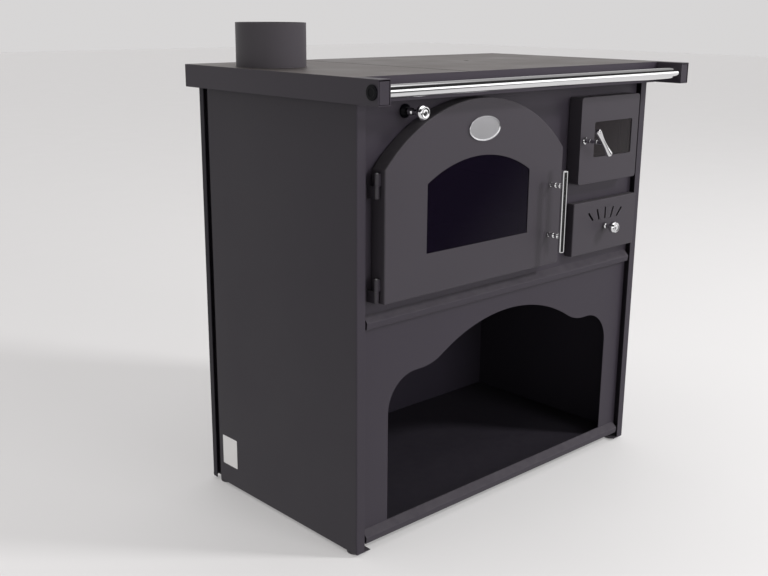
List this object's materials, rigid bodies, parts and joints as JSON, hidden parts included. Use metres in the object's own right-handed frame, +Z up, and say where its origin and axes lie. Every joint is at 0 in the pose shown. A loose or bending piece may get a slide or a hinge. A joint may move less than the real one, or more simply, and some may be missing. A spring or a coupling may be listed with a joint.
{
  "type": "wood cookstove",
  "caption": "Free-standing solid-fuel cooker with arched oven door, glazed firebox door, ash drawer, flue collar, towel rail and open storage below.",
  "frame": {"origin": "floor under the middle of the overall outline", "axes": "+Z up, +Y towards the back, +X to the right seen from the front"},
  "size_m": [0.882, 0.542, 0.935],
  "materials": {
    "body_paint": "fine-textured anthracite powder coat",
    "hob_paint": "satin grey-brown heat-proof paint",
    "hob_steel": "dull grey steel cooking plate",
    "door_paint": "satin anthracite enamel",
    "inner_steel": "plain dark lining sheet",
    "chrome": "polished chrome",
    "black_plastic": "matt black",
    "black_steel": "heat-proof black",
    "cast_iron": "raw cast surface",
    "firebrick": "pale refractory slab",
    "zinc_steel": "zinc-plated",
    "oven_steel": "plain bright steel",
    "door_glass": "tinted heat-proof glass",
    "seal": "woven glass-fibre rope seal",
    "plate": "polished bare plate"
  },
  "bodies": {
    "cabinet": {"left_side_panel": "body_paint", "right_side_panel": "body_paint", "back_cover": "inner_steel", "cover_screws": "zinc_steel", "bottom_panel": "inner_steel", "levelling_feet": "black_steel", "upper_front_panel": "body_paint", "lower_front_panel": "body_paint", "mid_rail": "body_paint", "threshold_rail": "body_paint", "inner_shell": "inner_steel", "top_frame": "body_paint", "hob_ledge": "inner_steel", "arm_end_caps": "body_paint", "towel_rail": "chrome", "rail_end_plugs": "black_plastic", "cooktop_left_plate": "hob_steel", "cooktop_right_plate": "hob_steel", "flue_collar": "hob_paint", "hinge_brackets": "black_steel", "hinge_pins": "zinc_steel", "oven_box": "oven_steel", "oven_shelf_runners": "oven_steel", "oven_rack": "oven_steel", "oven_door_catch": "zinc_steel", "firebox_shell": "cast_iron", "firebricks": "firebrick", "grate_frame": "cast_iron", "fire_grate": "cast_iron", "firebox_strike": "zinc_steel", "ash_guides": "zinc_steel", "smoke_baffle": "black_steel", "damper_escutcheon": "black_plastic"},
    "oven_door": {"oven_door_panel": "door_paint", "oven_door_glass": "door_glass", "oven_glass_clips": "zinc_steel", "oven_door_liner": "oven_steel", "oven_door_gasket": "seal", "oven_badge_plate": "plate", "oven_handle_bar": "chrome", "oven_handle_stems": "chrome", "oven_door_tongue": "zinc_steel", "oven_door_knuckles": "black_steel"},
    "firebox_door": {"firebox_door_panel": "door_paint", "firebox_door_glass": "door_glass", "firebox_glass_frame": "zinc_steel", "firebox_door_liner": "oven_steel", "firebox_door_gasket": "seal", "firebox_door_knuckles": "black_steel"},
    "latch": {"latch_bar": "chrome", "latch_spindle": "chrome", "latch_cam": "zinc_steel"},
    "ash_drawer": {"ash_drawer_front": "door_paint", "ash_drawer_tray": "zinc_steel", "ash_tray_ends": "zinc_steel"},
    "air_regulator": {"air_shutter": "zinc_steel", "air_knob": "chrome"},
    "damper": {"damper_rod": "chrome", "damper_plate": "black_steel"}
  },
  "joints": [
    {"name": "oven_door_hinge", "type": "hinge", "parent": "cabinet", "child": "oven_door", "pos_m": [-0.3745, -0.199, 0.6], "axis": [0, 0, -1], "range_deg": [0, 110]},
    {"name": "firebox_door_hinge", "type": "hinge", "parent": "cabinet", "child": "firebox_door", "pos_m": [0.3645, -0.199, 0.7], "axis": [0, 0, 1], "range_deg": [0, 110]},
    {"name": "latch_turn", "type": "hinge", "parent": "firebox_door", "child": "latch", "pos_m": [0.175, -0.211, 0.7095], "axis": [0, 1, 0], "range_deg": [0, 60]},
    {"name": "ash_drawer_slide", "type": "slide", "parent": "cabinet", "child": "ash_drawer", "axis": [0, -1, 0], "range_m": [0, 0.3]},
    {"name": "air_regulator_turn", "type": "hinge", "parent": "ash_drawer", "child": "air_regulator", "pos_m": [0.2793, -0.198, 0.5215], "axis": [0, 1, 0], "range_deg": [0, 11]},
    {"name": "damper_slide", "type": "slide", "parent": "cabinet", "child": "damper", "axis": [0, -1, 0], "range_m": [0, 0.06]}
  ]
}
